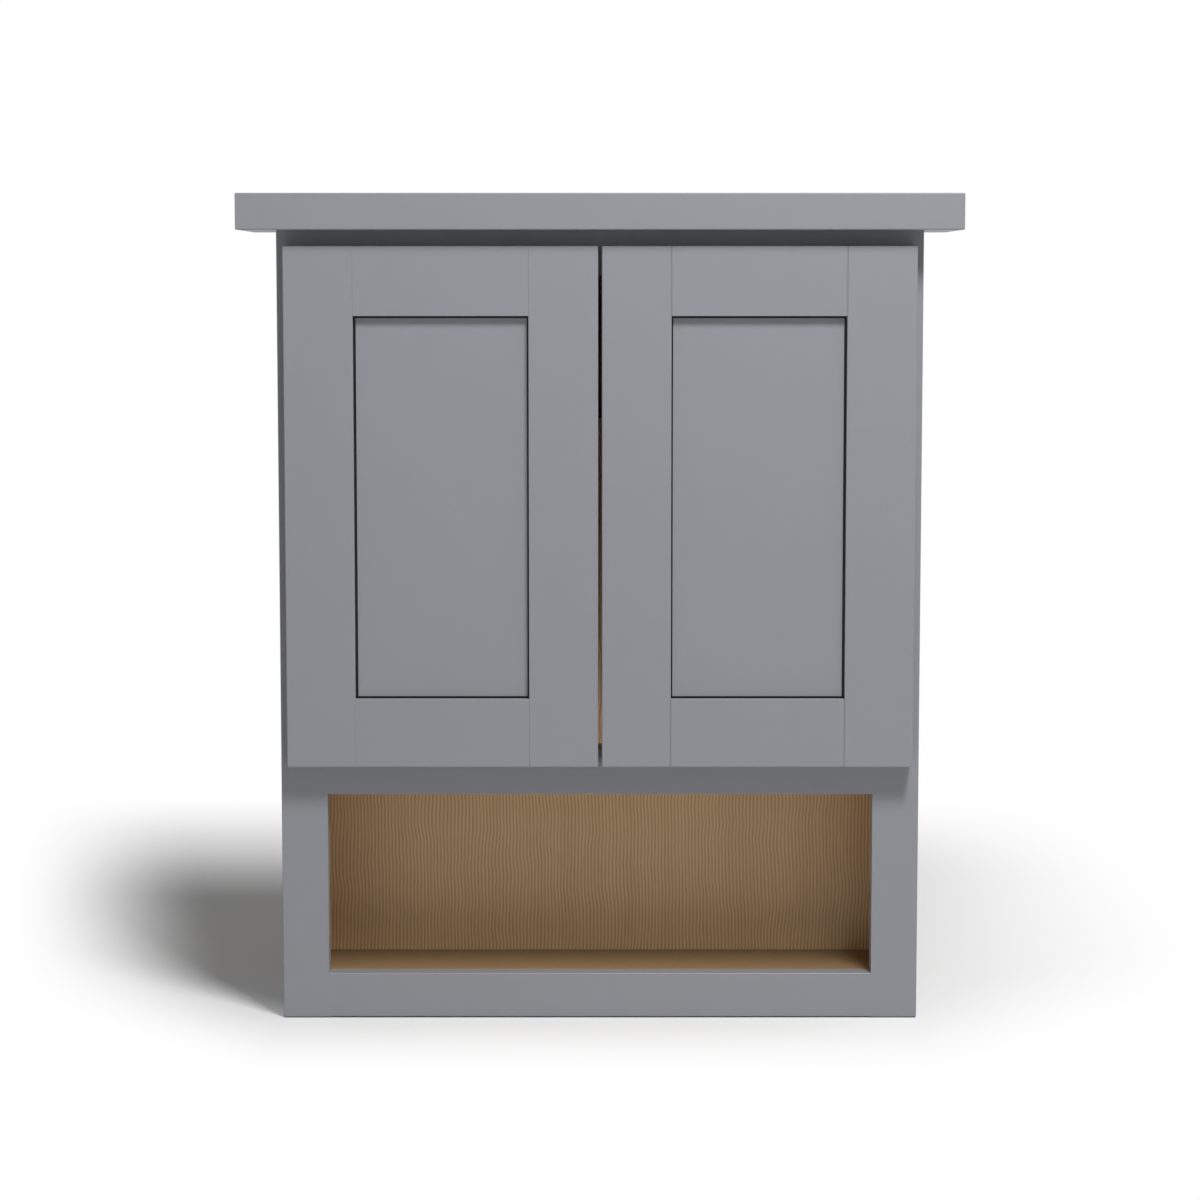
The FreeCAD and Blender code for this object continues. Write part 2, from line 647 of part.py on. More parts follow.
# Hinges: a cup let into the door, an arm screwed to the frame and a pin between them
arm_low = -eye_r
arm_high = arm_low + s.strap_t
rise_low = door_back + s.arm_rise
screws = {"left": [], "right": [], "arm": []}
pins = {"left": [], "right": []}
for word, side in sides.items():
    for level_word, height in hinge_heights.items():
        hinge = f"{word}_{level_word}_hinge_"
        body = body_for(hinge + "cup")
        spot = [(at(side, cup_x), height)]
        rounds(body, "Pad", "cup", "XZ_Plane", spot, s.cup_r, cup_base, door_back)
        reach = across(side, flange_reach[0], flange_reach[1])
        wing = rectangle(reach, (height - s.flange_half, height + s.flange_half))
        prism(body, "Pad", "flange", "XZ_Plane", wing, door_back - s.flange_t, door_back)
        reach = across(side, pin_x - s.arm_reach - s.cup_room, pin_x + eye_r + s.strap_room)
        half = s.strap_half + s.strap_room
        hollow = rectangle(reach, (height - half, height + half))
        prism(body, "Pocket", "hollow", "XZ_Plane", hollow, cup_base + s.cup_floor, door_back)
        spot = [(at(side, pin_x), pin_y)]
        low, high = height - s.cup_r, height + s.cup_r
        rounds(body, "Pocket", "pin_hole", "XY_Plane", spot, s.pin_r, low, high)
        spots = cup_screw_spots(side, height)
        passing = s.screw_r + s.screw_pass
        rounds(body, "Pocket", "screw_holes", "XZ_Plane", spots, passing, door_back - s.flange_t, door_back)

        body = body_for(hinge + "arm")
        profile = [
            (at(side, pin_x), pin_y + arm_low),
            (at(side, pin_x - s.arm_reach), pin_y + arm_low),
            (at(side, pin_x - s.arm_reach), rise_low),
            (at(side, opening - s.strap_t), rise_low),
            (at(side, opening - s.strap_t), plate_rear),
            (at(side, opening), plate_rear),
            (at(side, opening), rise_low + s.strap_t),
            (at(side, pin_x - s.arm_reach + s.strap_t), rise_low + s.strap_t),
            (at(side, pin_x - s.arm_reach + s.strap_t), pin_y + arm_high),
            (at(side, pin_x), pin_y + arm_high),
        ]
        low, high = height - s.strap_half, height + s.strap_half
        prism(body, "Pad", "strap", "XY_Plane", profile, low, high)
        spot = [(at(side, pin_x), pin_y)]
        rounds(body, "Pad", "eye", "XY_Plane", spot, eye_r, low, high)
        rounds(body, "Pocket", "eye_bore", "XY_Plane", spot, s.pin_r + s.pin_fit, low, high)
        plate_y = (front + s.plate_start, plate_rear)
        plate = rectangle(across(side, opening - s.strap_t, opening), plate_y)
        tall = (height - s.plate_half, height + s.plate_half)
        prism(body, "Pad", "plate", "XY_Plane", plate, tall[0], tall[1])
        spots = [(frame_mid, height - s.arm_screw_half), (frame_mid, height + s.arm_screw_half)]
        thick = across(side, opening - s.strap_t, opening)
        rounds(body, "Pocket", "screw_holes", "YZ_Plane", spots, passing, *thick)

        pin = rod(hinge + "pin", "z", at(side, pin_x), pin_y, height - s.pin_half, s.pin_r, s.pin_half * 2)
        pins[word].append(pin)
        for n, (x, z) in enumerate(cup_screw_spots(side, height)):
            name = f"{hinge}cup_screw_{n}"
            shank = rod(name + "_shank", "y", x, door_back - s.screw_l, z, s.screw_r, s.screw_l)
            head = rod(name + "_head", "y", x, door_back + 0, z, s.head_r, s.head_t)
            screws[word].append(joined(name, shank, head))
        for n, (y, z) in enumerate(spots):
            name = f"{hinge}arm_screw_{n}"
            run = across(side, opening - s.strap_t, opening - s.strap_t + s.screw_l)
            shank = rod(name + "_shank", "x", run[0], y, z, s.screw_r, s.screw_l)
            run = across(side, opening - s.strap_t - s.head_t, opening - s.strap_t)
            head = rod(name + "_head", "x", run[0], y, z, s.head_r, s.head_t)
            screws["arm"].append(joined(name, shank, head))
group("left_hinge_pins", pins["left"])
group("right_hinge_pins", pins["right"])
group("left_cup_screws", screws["left"])
group("right_cup_screws", screws["right"])
group("arm_screws", screws["arm"])

# Build, check and write
doc.recompute()
for thing in doc.Objects:
    if "Invalid" in thing.State or "Error" in thing.State:
        raise RuntimeError(f"{thing.Name} did not build: {thing.State}")
for node, thing in nodes.items():
    shape = thing.Shape
    if shape.isNull() or not shape.isValid() or shape.Volume <= 0:
        raise RuntimeError(f"{node} has no sound shape")
for thing in doc.Objects:
    if thing.TypeId == "PartDesign::Pocket":
        before = thing.BaseFeature.Shape.Volume
        if thing.Shape.Volume > before - 0.01:
            raise RuntimeError(f"{thing.Label} cuts nothing")

os.makedirs("parts", exist_ok=True)
for node, thing in nodes.items():
    thing.Shape.exportStep(f"parts/{node}.step")
    box = thing.Shape.BoundBox
    print(
        f"{node}: {len(thing.Shape.Solids)} solid(s), {thing.Shape.Volume / 1000:.2f} cm3,"
        f" x {box.XMin:.2f}..{box.XMax:.2f} y {box.YMin:.2f}..{box.YMax:.2f} z {box.ZMin:.2f}..{box.ZMax:.2f}"
    )
print(len(nodes), "pieces")
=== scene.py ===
import math

import bmesh
import bpy
from mathutils import Matrix, Vector


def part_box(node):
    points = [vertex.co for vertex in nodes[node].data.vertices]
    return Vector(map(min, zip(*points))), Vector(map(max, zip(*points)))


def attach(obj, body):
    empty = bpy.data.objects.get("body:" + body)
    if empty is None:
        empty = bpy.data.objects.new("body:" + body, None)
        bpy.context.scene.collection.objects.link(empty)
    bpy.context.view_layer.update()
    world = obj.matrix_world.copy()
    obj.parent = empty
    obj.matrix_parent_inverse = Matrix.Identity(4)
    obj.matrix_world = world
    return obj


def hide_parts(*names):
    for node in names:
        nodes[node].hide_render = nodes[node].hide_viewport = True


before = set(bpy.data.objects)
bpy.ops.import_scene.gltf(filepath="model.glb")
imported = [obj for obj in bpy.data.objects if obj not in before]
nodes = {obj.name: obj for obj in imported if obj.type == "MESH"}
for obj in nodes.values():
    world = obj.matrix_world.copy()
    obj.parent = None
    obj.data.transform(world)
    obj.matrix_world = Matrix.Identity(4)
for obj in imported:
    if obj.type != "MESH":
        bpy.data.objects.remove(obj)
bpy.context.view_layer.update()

# A painted medicine cabinet with two framed doors over an open niche, on a pale studio floor.
# Metres. X runs to the right, Y from the front to the wall, Z up.

MM = 0.001
sides = {"left": -1, "right": 1}
levels = ("lower", "upper")

# Planes and edges read from the frame, on the right where a piece has a twin on the left
panel_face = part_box("right_door_panel")[0].y
lock_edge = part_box("right_door_lock_stile")[1].x
hinge_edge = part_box("right_door_hinge_stile")[0].x
rail_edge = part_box("right_door_bottom_rail")[1].z
head_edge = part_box("right_door_top_rail")[0].z
side_low, side_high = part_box("right_side")
veneer_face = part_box("back_panel")[0].y
frame_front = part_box("right_frame_stile")[0].y

# Finishes, as they look in plain light, but for the niche floor's veneer, which is darker with painted shade
PAINT = (150, 151, 157)
# Near-black: the painted shade in the gap round a door's panel, and the colour the right door's joint lines
# darken towards
DARK_LINE_AND_SHADE = (6, 6, 7)
VENEER = {"pale": (221, 188, 145), "dark": (177, 145, 101)}
BOARD_VENEER = {"pale": (208, 176, 132), "dark": (190, 158, 114)}
# The niche floor's veneer: a darker copy of the board veneer, with the shade in the niche painted into it
SHADED_FLOOR_VENEER = {"pale": (141, 116, 86), "dark": (124, 101, 70)}
CORE = {"pale": (201, 172, 130), "dark": (150, 116, 78)}
PINE = {"pale": (222, 189, 138), "dark": (190, 146, 92)}
BOARD_BROWN = (128, 97, 68)
NICKEL = (196, 194, 189)
ZINC = (205, 206, 208)
RUBBER = (212, 211, 206)
PLASTIC = (228, 224, 214)
PAINT_IOR = 1.46

# Width of the veneer's stripes, how much they waver and how far its pores darken it
RIBBON = 3.43 * MM
RIBBON_WAVER = 3.0
BOARD_RIBBON = 5.2 * MM
BOARD_WAVER = 2.2
PORE_SHARE = 0.25

# The niche floor has painted light along its front and painted shade behind it: how much paler it is there,
# how much darker behind, and how far back the pale part reaches
PAINTED_LIGHT_FRONT = 1.38
PAINTED_SHADE_BACK = 0.74
PAINTED_LIGHT_REACH = 47.0 * MM

# The painted shade in the gap round a door's panel: how far it laps over the stiles and rails, where it
# starts and ends behind the face of the panel's field, and how far its limits are softened
GAP_SHADE_LAP = 0.3 * MM
GAP_SHADE_START = 0.06 * MM
GAP_SHADE_END = 3.6 * MM
GAP_SHADE_SOFT = 0.03 * MM
EDGE_SOFT = 0.05 * MM

# The fine lines where the right door's rails meet its stiles: half their width, how far they fade out beside
# it, how dark they are, and how near the middle of the cabinet they start
JOINT_HALF = 0.5 * MM
JOINT_SOFT = 1.2 * MM
JOINT_SHARE = 0.14
JOINT_FADE = 1 * MM

# How deep the paint and veneer of a side and the veneer of the back panel go: the two limits of the change
# to the wood below, in the order that X or Y rises
PAINT_SKIN = (0.4 * MM, 0.2 * MM)
VENEER_SKIN = (0.3 * MM, 0.4 * MM)
BACK_SKIN = (0.4 * MM, 0.6 * MM)

# How far red, green and blue light goes into rubber and plastic, before the shader's own scale
LIGHT_DEPTH = (0.003, 0.003, 0.0027)


def linear(colour):
    """A colour given in the usual 0 to 255 steps, as the light it reflects."""
    light = []
    for step in colour:
        share = step / 255
        light.append(share / 12.92 if share <= 0.04045 else ((share + 0.055) / 1.055) ** 2.4)
    return (*light, 1.0)


def toned(colour, share):
    """A colour made paler or deeper."""
    return (*[part * share for part in linear(colour)[:3]], 1)


# Short ways to write nodes
def add(tree, kind, inputs=None, **settings):
    """Add a node, set its options and fill its inputs with values or with other nodes' outputs."""
    node = tree.nodes.new("ShaderNode" + kind)
    for name, value in settings.items():
        setattr(node, name, value)
    for name, value in (inputs or {}).items():
        fill(tree, node.inputs[name], value)
    return node


def fill(tree, socket, value):
    """Join an output to a socket, or set the socket's own value."""
    if isinstance(value, bpy.types.NodeSocket):
        tree.links.new(value, socket)
    else:
        socket.default_value = value


def maths(tree, operation, first, second=0.0, third=0.0):
    """One sum, with numbers or outputs."""
    node = add(tree, "Math", operation=operation)
    for socket, value in zip(node.inputs, (first, second, third)):
        fill(tree, socket, value)
    return node.outputs[0]


def added(tree, first, first_share, second, second_share):
    """Two values added up, each times its share."""
    first = maths(tree, "MULTIPLY", first, first_share)
    second = maths(tree, "MULTIPLY", second, second_share)
    return maths(tree, "ADD", first, second)


def step_up(tree, value, start, end):
    """0 below start, 1 above end, and a smooth rise between them."""
    node = add(tree, "MapRange", {"Value": value, "From Min": start, "From Max": end})
    node.interpolation_type = "SMOOTHSTEP"
    return node.outputs[0]


def between(tree, value, low, high, soft):
    """1 between two limits and 0 outside them."""
    rise = step_up(tree, value, low - soft, low)
    fall = step_up(tree, value, high, high + soft)
    return maths(tree, "SUBTRACT", rise, fall)


def mixed(tree, share, first, second):
    """A colour between two others."""
    node = add(tree, "Mix", data_type="RGBA")
    for index, value in ((0, share), (6, first), (7, second)):
        fill(tree, node.inputs[index], value)
    return node.outputs[2]


def ranged(tree, value, low, high, start=0.0, end=1.0):
    """A value that runs from start to end, spread over another range."""
    source = {"Value": value, "From Min": start, "From Max": end}
    return add(tree, "MapRange", {**source, "To Min": low, "To Max": high}).outputs[0]


def place_in(tree):
    """Where a point lies in the cabinet."""
    return add(tree, "TexCoord").outputs["Object"]


def parts_of(tree, spot):
    """The three parts of a position."""
    return add(tree, "SeparateXYZ", {0: spot}).outputs


def stretched(tree, spot, scale, turn=(0, 0, 0)):
    """A position turned, then stretched along each axis."""
    return add(tree, "Mapping", {"Vector": spot, "Scale": scale, "Rotation": turn}).outputs[0]


def noise(tree, spot, scale, detail=2.0, roughness=0.5):
    """Soft cloudy variation, from 0 to 1."""
    values = {"Vector": spot, "Scale": scale, "Detail": detail, "Roughness": roughness}
    return add(tree, "TexNoise", values).outputs[0]


def streaky(tree, spot, scale, detail=2.0, roughness=0.5):
    """Cloudy variation with its own scale along each axis, drawn out where the scale is low."""
    return noise(tree, stretched(tree, spot, scale), 1.0, detail, roughness)


def new_group(name, inputs, outputs):
    """An empty shader group with named sockets."""
    tree = bpy.data.node_groups.new(name, "ShaderNodeTree")
    for socket, kind, value in inputs:
        made = tree.interface.new_socket(socket, in_out="INPUT", socket_type="NodeSocket" + kind)
        if value is not None:
            made.default_value = value
    for socket in outputs:
        tree.interface.new_socket(socket, in_out="OUTPUT", socket_type="NodeSocketFloat")
    return tree, tree.nodes.new("NodeGroupInput").outputs, tree.nodes.new("NodeGroupOutput").inputs


def use_group(tree, group, inputs):
    """Place a group in a material with its own values."""
    node = tree.nodes.new("ShaderNodeGroup")
    node.node_tree = group
    for name, value in inputs.items():
        fill(tree, node.inputs[name], value)
    return node.outputs


# Shared effects
def make_sprayed_coat():
    """Sprayed paint: soft mottling, a fine orange-peel skin and a trace of the wood below."""
    tree, given, made = new_group(
        "sprayed_coat",
        [("Position", "Vector", None), ("Grain", "Vector", (1, 1, 1))],
        ["Mottle", "Sheen", "Height"],
    )
    spot = given["Position"]
    clouds = noise(tree, spot, scale=7.0, detail=3.0)
    fine = noise(tree, spot, scale=160.0)
    peel = noise(tree, spot, scale=420.0, detail=1.0)
    along = add(tree, "VectorMath", {0: spot, 1: given["Grain"]}, operation="MULTIPLY").outputs[0]
    grain = noise(tree, along, scale=1.0, detail=4.0, roughness=0.6)
    fill(tree, made["Mottle"], added(tree, clouds, 0.7, fine, 0.3))
    fill(tree, made["Sheen"], noise(tree, spot, scale=28.0))
    fill(tree, made["Height"], added(tree, peel, 0.6, grain, 0.5))
    return tree


def make_ribbon_figure():
    """Ribbon veneer: fine wavering stripes that run along Y of the given position, with pores."""
    tree, given, made = new_group(
        "ribbon_figure",
        [("Position", "Vector", None), ("Stripe", "Float", 0.0034), ("Waver", "Float", 1.0)],
        ["Stripes", "Streaks", "Pores"],
    )
    spot = given["Position"]
    drift = streaky(tree, spot, scale=(10.0, 17.0, 10.0), roughness=0.45)
    drift = maths(tree, "MULTIPLY", maths(tree, "SUBTRACT", drift, 0.5), given["Waver"])
    across = parts_of(tree, spot)[0]
    turns = maths(tree, "ADD", maths(tree, "DIVIDE", across, given["Stripe"]), drift)
    wave = maths(tree, "SINE", maths(tree, "MULTIPLY", turns, math.tau))
    uneven = streaky(tree, spot, scale=(230.0, 16.0, 230.0))
    strength = ranged(tree, uneven, low=0.28, high=0.72)
    pores = streaky(tree, spot, scale=(1500.0, 60.0, 1500.0), detail=1.0)
    fill(tree, made["Stripes"], maths(tree, "ADD", maths(tree, "MULTIPLY", wave, strength), 0.5))
    fill(tree, made["Streaks"], streaky(tree, spot, scale=(75.0, 1.6, 75.0), detail=4.0, roughness=0.6))
    fill(tree, made["Pores"], step_up(tree, pores, start=0.6, end=0.78))
    return tree


def make_plies():
    """Plywood seen on its edge: thin layers, one light and one dark in turn."""
    tree, given, made = new_group(
        "plies",
        [("Depth", "Float", 0.0), ("Ply", "Float", 0.0018), ("Position", "Vector", None)],
        ["Layer"],
    )
    turns = maths(tree, "DIVIDE", given["Depth"], given["Ply"])
    ragged = maths(tree, "MULTIPLY", noise(tree, given["Position"], scale=900.0), 0.25)
    wave = maths(tree, "SINE", maths(tree, "MULTIPLY", maths(tree, "ADD", turns, ragged), math.pi))
    fill(tree, made["Layer"], step_up(tree, wave, start=-0.35, end=0.35))
    return tree


SPRAYED_COAT = make_sprayed_coat()
RIBBON_FIGURE = make_ribbon_figure()
PLIES = make_plies()

# How a position is turned so that the grain runs along Y: upright, level or upright on a side
GRAIN_TURN = {
    "upright": (-math.pi / 2, 0, 0),
    "level": (0, 0, math.pi / 2),
    "upright_side": (0, -math.pi / 2, -math.pi / 2),
}
# How the trace of the wood under the paint is stretched: upright, level or from front to back
PAINT_GRAIN = {"upright": (260, 260, 7), "level": (7, 260, 260), "deep": (260, 7, 260)}


def bare_material(name):
    """A material without nodes, and its node tree."""
    material = bpy.data.materials.new(name)
    material.use_nodes = True
    material.node_tree.nodes.clear()
    return material, material.node_tree


def new_material(name):
    """A material, its node tree, its shader's inputs and where a point of it lies in the cabinet."""
    material, tree = bare_material(name)
    shader = add(tree, "BsdfPrincipled")
    add(tree, "OutputMaterial", {"Surface": shader.outputs[0]})
    return material, tree, shader.inputs, place_in(tree)


def raise_surface(tree, shader, height, strength, distance):
    """Give a surface its fine relief."""
    bump = add(tree, "Bump", {"Height": height, "Strength": strength, "Distance": distance})
    fill(tree, shader["Normal"], bump.outputs[0])


def paint_colour(tree, spot, grain):
    """Colour, roughness and relief of the grey paint."""
    coat = use_group(tree, SPRAYED_COAT, {"Position": spot, "Grain": PAINT_GRAIN[grain]})
    colour = mixed(tree, coat["Mottle"], toned(PAINT, 0.975), toned(PAINT, 1.025))
    gloss = ranged(tree, coat["Sheen"], low=0.36, high=0.5)
    return colour, gloss, coat["Height"]


def shadow_gap(tree, x, y, z):
    """1 in the narrow gap round a door's panel, behind the face of its field, where shade is painted."""
    reach = maths(tree, "ABSOLUTE", x)
    wide = between(tree, reach, lock_edge - GAP_SHADE_LAP, hinge_edge + GAP_SHADE_LAP, EDGE_SOFT)
    tall = between(tree, z, rail_edge - GAP_SHADE_LAP, head_edge + GAP_SHADE_LAP, EDGE_SOFT)
    deep = between(tree, y, panel_face + GAP_SHADE_START, panel_face + GAP_SHADE_END, GAP_SHADE_SOFT)
    return maths(tree, "MULTIPLY", maths(tree, "MULTIPLY", wide, tall), deep)


def joint_lines(tree, x, z):
    """How far the paint darkens where the right door's rails meet its stiles."""
    reach = maths(tree, "ABSOLUTE", x)
    lock = between(tree, reach, lock_edge - JOINT_HALF, lock_edge + JOINT_HALF, JOINT_SOFT)
    hinge = between(tree, reach, hinge_edge - JOINT_HALF, hinge_edge + JOINT_HALF, JOINT_SOFT)
    beside_panel = between(tree, z, rail_edge, head_edge, EDGE_SOFT)
    lines = maths(tree, "SUBTRACT", maths(tree, "MAXIMUM", lock, hinge), beside_panel)
    lines = maths(tree, "MAXIMUM", lines, 0.0)
    right_door = step_up(tree, x, -JOINT_FADE, JOINT_FADE)
    return maths(tree, "MULTIPLY", lines, ranged(tree, right_door, 0.0, JOINT_SHARE))


def cabinet_paint(name, grain, gap_shaded=False):
    """Satin grey paint. On the doors the gap round the panel is painted near-black, as painted shade."""
    material, tree, shader, spot = new_material(name)
    colour, gloss, height = paint_colour(tree, spot, grain)
    if gap_shaded:
        x, y, z = parts_of(tree, spot)
        colour = mixed(tree, joint_lines(tree, x, z), colour, linear(DARK_LINE_AND_SHADE))
        colour = mixed(tree, shadow_gap(tree, x, y, z), colour, linear(DARK_LINE_AND_SHADE))
    fill(tree, shader["Base Color"], colour)
    fill(tree, shader["Roughness"], gloss)
    shader["IOR"].default_value = PAINT_IOR
    raise_surface(tree, shader, height, strength=0.25, distance=0.06 * MM)
    return material


def veneer_colour(tree, spot, turn, stripe, waver, tones):
    """Colour and relief of ribbon veneer that runs the given way."""
    along = stretched(tree, spot, (1, 1, 1), GRAIN_TURN[turn])
    figure = use_group(tree, RIBBON_FIGURE, {"Position": along, "Stripe": stripe, "Waver": waver})
    streaks = maths(tree, "SUBTRACT", figure["Streaks"], 0.5)
    tone = maths(tree, "MULTIPLY_ADD", streaks, 0.5, figure["Stripes"])
    colour = mixed(tree, tone, linear(tones["dark"]), linear(tones["pale"]))
    pores = maths(tree, "MULTIPLY", figure["Pores"], PORE_SHARE)
    colour = mixed(tree, pores, colour, linear(CORE["dark"]))
    return colour, maths(tree, "SUBTRACT", figure["Stripes"], figure["Pores"])


def board_veneer(name, tones, light_to_shade=False):
    """Clear-coated veneer with level grain, on the boards between the sides, if asked with painted light at
    the front and painted shade behind.
    """
    material, tree, shader, spot = new_material(name)
    colour, height = veneer_colour(tree, spot, "level", BOARD_RIBBON, BOARD_WAVER, tones)
    if light_to_shade:
        # Painted light along the niche floor's front, fading to painted shade behind it
        y = parts_of(tree, spot)[1]
        tone = ranged(tree, y, PAINTED_LIGHT_FRONT, PAINTED_SHADE_BACK, side_low.y, side_low.y + PAINTED_LIGHT_REACH)
        colour = add(tree, "VectorMath", {0: colour, "Scale": tone}, operation="SCALE").outputs[0]
    fill(tree, shader["Base Color"], colour)
    fill(tree, shader["Roughness"], ranged(tree, noise(tree, spot, scale=60.0), low=0.42, high=0.58))
    raise_surface(tree, shader, height, strength=0.3, distance=0.08 * MM)
    return material


def side_finish(name):
    """A side: paint outside, veneer inside and bare plies on its edges."""
    material, tree, shader, spot = new_material(name)
    x = parts_of(tree, spot)[0]
    reach = maths(tree, "ABSOLUTE", x)
    paint, gloss, peel = paint_colour(tree, spot, "upright")
    veneer, height = veneer_colour(tree, spot, "upright_side", RIBBON, RIBBON_WAVER, VENEER)
    layer = use_group(tree, PLIES, {"Depth": x, "Position": spot})["Layer"]
    core = mixed(tree, layer, linear(CORE["dark"]), linear(CORE["pale"]))
    outside = step_up(tree, reach, *[side_high.x - skin for skin in PAINT_SKIN])
    inner = step_up(tree, reach, *[side_low.x + skin for skin in VENEER_SKIN])
    fill(tree, shader["Base Color"], mixed(tree, outside, mixed(tree, inner, veneer, core), paint))
    fill(tree, shader["Roughness"], gloss)
    raise_surface(tree, shader, maths(tree, "ADD", peel, height), strength=0.25, distance=0.06 * MM)
    return material


def back_finish(name):
    """The back panel: veneer on the face that shows in the niche, plain brown board behind."""
    material, tree, shader, spot = new_material(name)
    veneer, height = veneer_colour(tree, spot, "upright", RIBBON, RIBBON_WAVER, VENEER)
    specks = noise(tree, spot, scale=500.0, detail=3.0, roughness=0.7)
    fibres = streaky(tree, spot, scale=(120.0, 900.0, 900.0), detail=3.0)
    tone = ranged(tree, maths(tree, "MULTIPLY", specks, fibres), low=0.0, high=2.2)
    board = mixed(tree, tone, toned(BOARD_BROWN, 0.75), toned(BOARD_BROWN, 1.25))
    y = parts_of(tree, spot)[1]
    behind = step_up(tree, y, *[veneer_face + skin for skin in BACK_SKIN])
    fill(tree, shader["Base Color"], mixed(tree, behind, veneer, board))
    fill(tree, shader["Roughness"], ranged(tree, behind, low=0.5, high=0.72))
    raise_surface(tree, shader, maths(tree, "ADD", height, specks), strength=0.3, distance=0.08 * MM)
    return material


def bare_wood(name, turn):
    """Planed softwood: broad soft rings with fine fibres."""
    material, tree, shader, spot = new_material(name)
    along = stretched(tree, spot, (1, 1, 1), GRAIN_TURN[turn])
    warp = streaky(tree, along, scale=(14.0, 1.4, 14.0))
    ring = maths(tree, "SINE", maths(tree, "MULTIPLY", warp, 55.0))
    fibres = streaky(tree, along, scale=(900.0, 14.0, 900.0), detail=3.0)
    tone = added(tree, ring, 0.28, fibres, 0.9)
    fill(tree, shader["Base Color"], mixed(tree, tone, linear(PINE["dark"]), linear(PINE["pale"])))
    fill(tree, shader["Roughness"], ranged(tree, fibres, low=0.6, high=0.8))
    raise_surface(tree, shader, fibres, strength=0.3, distance=0.1 * MM)
    return material


def plated_steel(name, colour, smooth, rough):
    """Plated steel with faint rolling marks and handling smears."""
    material, tree, shader, spot = new_material(name)
    marks = streaky(tree, spot, scale=(2600.0, 2600.0, 120.0), detail=3.0, roughness=0.6)
    smears = noise(tree, spot, scale=130.0, detail=3.0, roughness=0.55)
    haze = maths(tree, "MULTIPLY", marks, smears)
    fill(tree, shader["Base Color"], mixed(tree, smears, toned(colour, 0.82), linear(colour)))
    fill(tree, shader["Roughness"], ranged(tree, haze, smooth, rough))
    shader["Metallic"].default_value = 1.0
    raise_surface(tree, shader, marks, strength=0.12, distance=0.03 * MM)
    return material


def soft_moulding(name, colour, smooth, rough, through):
    """Moulded rubber or plastic, a little translucent, with a fine matt skin."""
    material, tree, shader, spot = new_material(name)
    skin = noise(tree, spot, scale=1800.0)
    cloud = noise(tree, spot, scale=240.0)
    fill(tree, shader["Base Color"], mixed(tree, cloud, toned(colour, 0.9), linear(colour)))
    fill(tree, shader["Roughness"], ranged(tree, skin, smooth, rough))
    shader["Subsurface Weight"].default_value = through
    shader["Subsurface Radius"].default_value = LIGHT_DEPTH
    raise_surface(tree, shader, skin, strength=0.15, distance=0.03 * MM)
    return material


paints = {way: cabinet_paint("grey_paint_" + way, way) for way in PAINT_GRAIN}
door_paints = {way: cabinet_paint("door_paint_" + way, way, gap_shaded=True) for way in ("upright", "level")}
steel = plated_steel("nickel_plate", NICKEL, smooth=0.16, rough=0.42)
zinc = plated_steel("zinc_plate", ZINC, smooth=0.2, rough=0.46)
rubber = soft_moulding("bumper_rubber", RUBBER, smooth=0.34, rough=0.46, through=0.35)
plastic = soft_moulding("pin_plastic", PLASTIC, smooth=0.28, rough=0.4, through=0.15)
pine = bare_wood("bare_wood_level", "level")
shaded_floor_veneer = board_veneer("niche_floor_veneer", SHADED_FLOOR_VENEER, light_to_shade=True)


def dress(material, *names):
    """Give CAD nodes their finish."""
    for name in names:
        nodes[name].material_slots[0].material = material


dress(paints["level"], "top_frame_rail", "middle_frame_rail", "bottom_frame_rail", "crown_front")
dress(back_finish("back_board"), "back_panel")
dress(pine, "lower_hanging_rail", "upper_hanging_rail", "frame_dowels", "crown_blocks")
dress(board_veneer("board_veneer", BOARD_VENEER), "top_board", "deck_board", "shelf")
dress(shaded_floor_veneer, "niche_floor")
for word in sides:
    dress(paints["upright"], word + "_frame_stile")
    dress(paints["deep"], word + "_crown_return")
    dress(side_finish(word + "_side_finish"), word + "_side")
    dress(door_paints["upright"], word + "_door_hinge_stile", word + "_door_lock_stile")
    dress(door_paints["upright"], word + "_door_panel")
    dress(door_paints["level"], word + "_door_bottom_rail", word + "_door_top_rail")
    dress(steel, word + "_hinge_pins")
    for level in levels:
        dress(steel, f"{word}_{level}_hinge_cup", f"{word}_{level}_hinge_arm")
dress(plastic, "shelf_pins")

# Soft edges on the carried-over pieces. The face frame is flush at its joints, and the drilled boards
# and small pieces keep their own edges.
DOOR_PIECES = ("_hinge_stile", "_lock_stile", "_door_top_rail", "_door_bottom_rail", "_door_panel")
SHARP_PIECES = (
    "_frame_stile", "_frame_rail",
    "_side", "back_panel", "_hanging_rail",
    "_screws", "_bumpers", "_pins", "_dowels",
)
DOOR_EDGE = 0.12 * MM
BOARD_EDGE = 0.3 * MM
EDGE_STEPS = 2
EDGE_ABOVE = math.radians(30)
WELD_BELOW = 0.001 * MM


def soften(name, width):
    """Round the sharp edges of a node a little."""
    weld = nodes[name].modifiers.new("weld", "WELD")
    weld.merge_threshold = WELD_BELOW
    bevel = nodes[name].modifiers.new("soft_edges", "BEVEL")
    bevel.width = width
    bevel.segments = EDGE_STEPS
    bevel.limit_method = "ANGLE"
    bevel.angle_limit = EDGE_ABOVE
    bevel.harden_normals = True


for name in nodes:
    if name.endswith(DOOR_PIECES):
        soften(name, DOOR_EDGE)
    elif not name.endswith(SHARP_PIECES):
        soften(name, BOARD_EDGE)

# A pan screw's proportions. The recess, flat, rim and shank are shares of the head's radius or thickness,
# and the taper is a share of the recess.
SCREW_SIDES = 24
RECESS_HALF = 0.16
RECESS_REACH = 0.55
RECESS_DEPTH = 0.6
RECESS_TAPER = 0.6
HEAD_FLAT = 0.66
HEAD_RIM = 0.35
SHOULDER_STEPS = 5
SHANK_SHARE = 0.47
